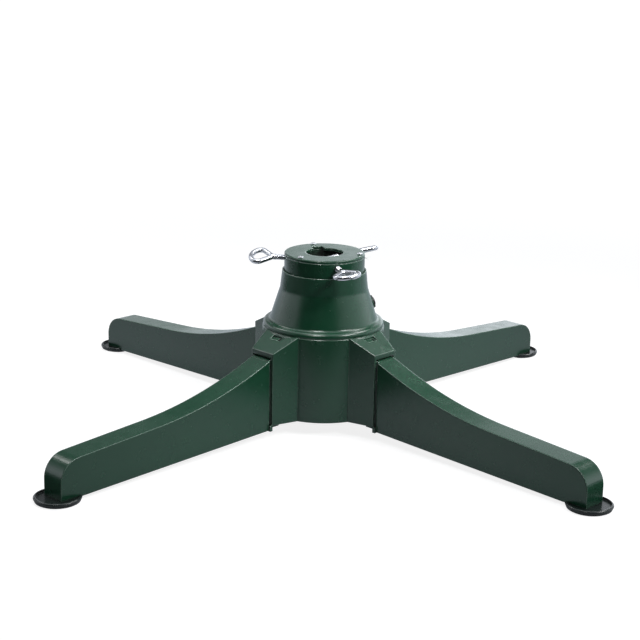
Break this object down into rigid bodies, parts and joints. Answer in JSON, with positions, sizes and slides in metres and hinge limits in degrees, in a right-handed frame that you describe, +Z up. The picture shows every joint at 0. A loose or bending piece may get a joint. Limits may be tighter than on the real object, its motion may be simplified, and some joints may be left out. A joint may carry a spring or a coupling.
{
  "type": "rotating christmas tree stand",
  "caption": "Motorised stand for an artificial tree: plug-in legs on a fixed hub, and a turning head whose eye bolts clamp the tree pole.",
  "frame": {"origin": "on the floor, on the vertical axis that the head turns about", "axes": "+Z up along the pole socket; -Y is the front; the legs lie on the diagonals between X and Y"},
  "size_m": [0.4502, 0.4502, 0.1541],
  "materials": {
    "green_plastic": "deep green moulded plastic, satin gloss",
    "dark_green_plastic": "near-black green moulded plastic",
    "black_rubber": "soft black rubber",
    "plated_eye_bolt": "bright nickel plate",
    "zinc_screw": "bright zinc plate",
    "black_plastic": "black moulded plastic",
    "steel": "turned steel",
    "acetal": "natural acetal",
    "brass": "sintered bronze and stamped brass"
  },
  "bodies": {
    "base": {"hub_housing": "green_plastic", "bottom_cover": "dark_green_plastic", "bottom_cover_screws": "zinc_screw", "bell_cover": "green_plastic", "bell_screws": "zinc_screw", "neck_bush": "acetal", "lower_bush": "brass", "lower_race": "steel", "gear_motor": "steel", "motor_screws": "zinc_screw", "switch_body": "black_plastic", "power_inlet": "black_plastic", "inlet_nut": "zinc_screw", "leg_front_right": "green_plastic", "leg_rear_right": "green_plastic", "leg_rear_left": "green_plastic", "leg_front_left": "green_plastic", "foot_front_right": "dark_green_plastic", "foot_rear_right": "dark_green_plastic", "foot_rear_left": "dark_green_plastic", "foot_front_left": "dark_green_plastic", "pad_front_right": "black_rubber", "pad_rear_right": "black_rubber", "pad_rear_left": "black_rubber", "pad_front_left": "black_rubber", "foot_screws": "zinc_screw"},
    "spindle": {"spindle_tube": "steel", "upper_race": "steel", "drive_gear": "acetal", "gear_screw": "zinc_screw", "head_ring": "green_plastic", "head_cap": "green_plastic", "cap_screws": "zinc_screw", "head_pins": "zinc_screw", "bolt_nuts": "zinc_screw"},
    "bearing": {"ball_cage": "brass", "bearing_balls": "steel"},
    "front_eye_bolt": {"eye_bolt_front": "plated_eye_bolt"},
    "rear_eye_bolt": {"eye_bolt_rear": "plated_eye_bolt"},
    "left_eye_bolt": {"eye_bolt_left": "plated_eye_bolt"},
    "motor_output": {"motor_shaft": "steel", "pinion": "acetal"},
    "push_button": {"switch_button": "black_plastic"}
  },
  "joints": [
    {"name": "head_spin", "type": "hinge", "parent": "base", "child": "spindle", "pos_m": [0, 0, 0.1], "axis": [0, 0, 1], "continuous": true},
    {"name": "pinion_spin", "type": "hinge", "parent": "base", "child": "motor_output", "pos_m": [0, -0.02385, 0.04], "axis": [0, 0, 1], "continuous": true},
    {"name": "bearing_spin", "type": "hinge", "parent": "base", "child": "bearing", "pos_m": [0, 0, 0.0547], "axis": [0, 0, 1], "continuous": true},
    {"name": "front_bolt_slide", "type": "slide", "parent": "spindle", "child": "front_eye_bolt", "axis": [0.309, -0.9511, 0], "range_m": [0, 0.0145]},
    {"name": "rear_bolt_slide", "type": "slide", "parent": "spindle", "child": "rear_eye_bolt", "axis": [0.6691, 0.7431, 0], "range_m": [0, 0.0165]},
    {"name": "left_bolt_slide", "type": "slide", "parent": "spindle", "child": "left_eye_bolt", "axis": [-0.9781, 0.2079, 0], "range_m": [0, 0.0145]},
    {"name": "button_press", "type": "slide", "parent": "base", "child": "push_button", "axis": [0.9207, 0.2467, 0.3025], "range_m": [-0.0015, 0], "stiffness_N_per_m": 800, "springref_m": 0.001}
  ],
  "couplings": [
    {"joint": "pinion_spin", "follows": "head_spin", "ratio": -2.1667},
    {"joint": "bearing_spin", "follows": "head_spin", "ratio": 0.5}
  ]
}
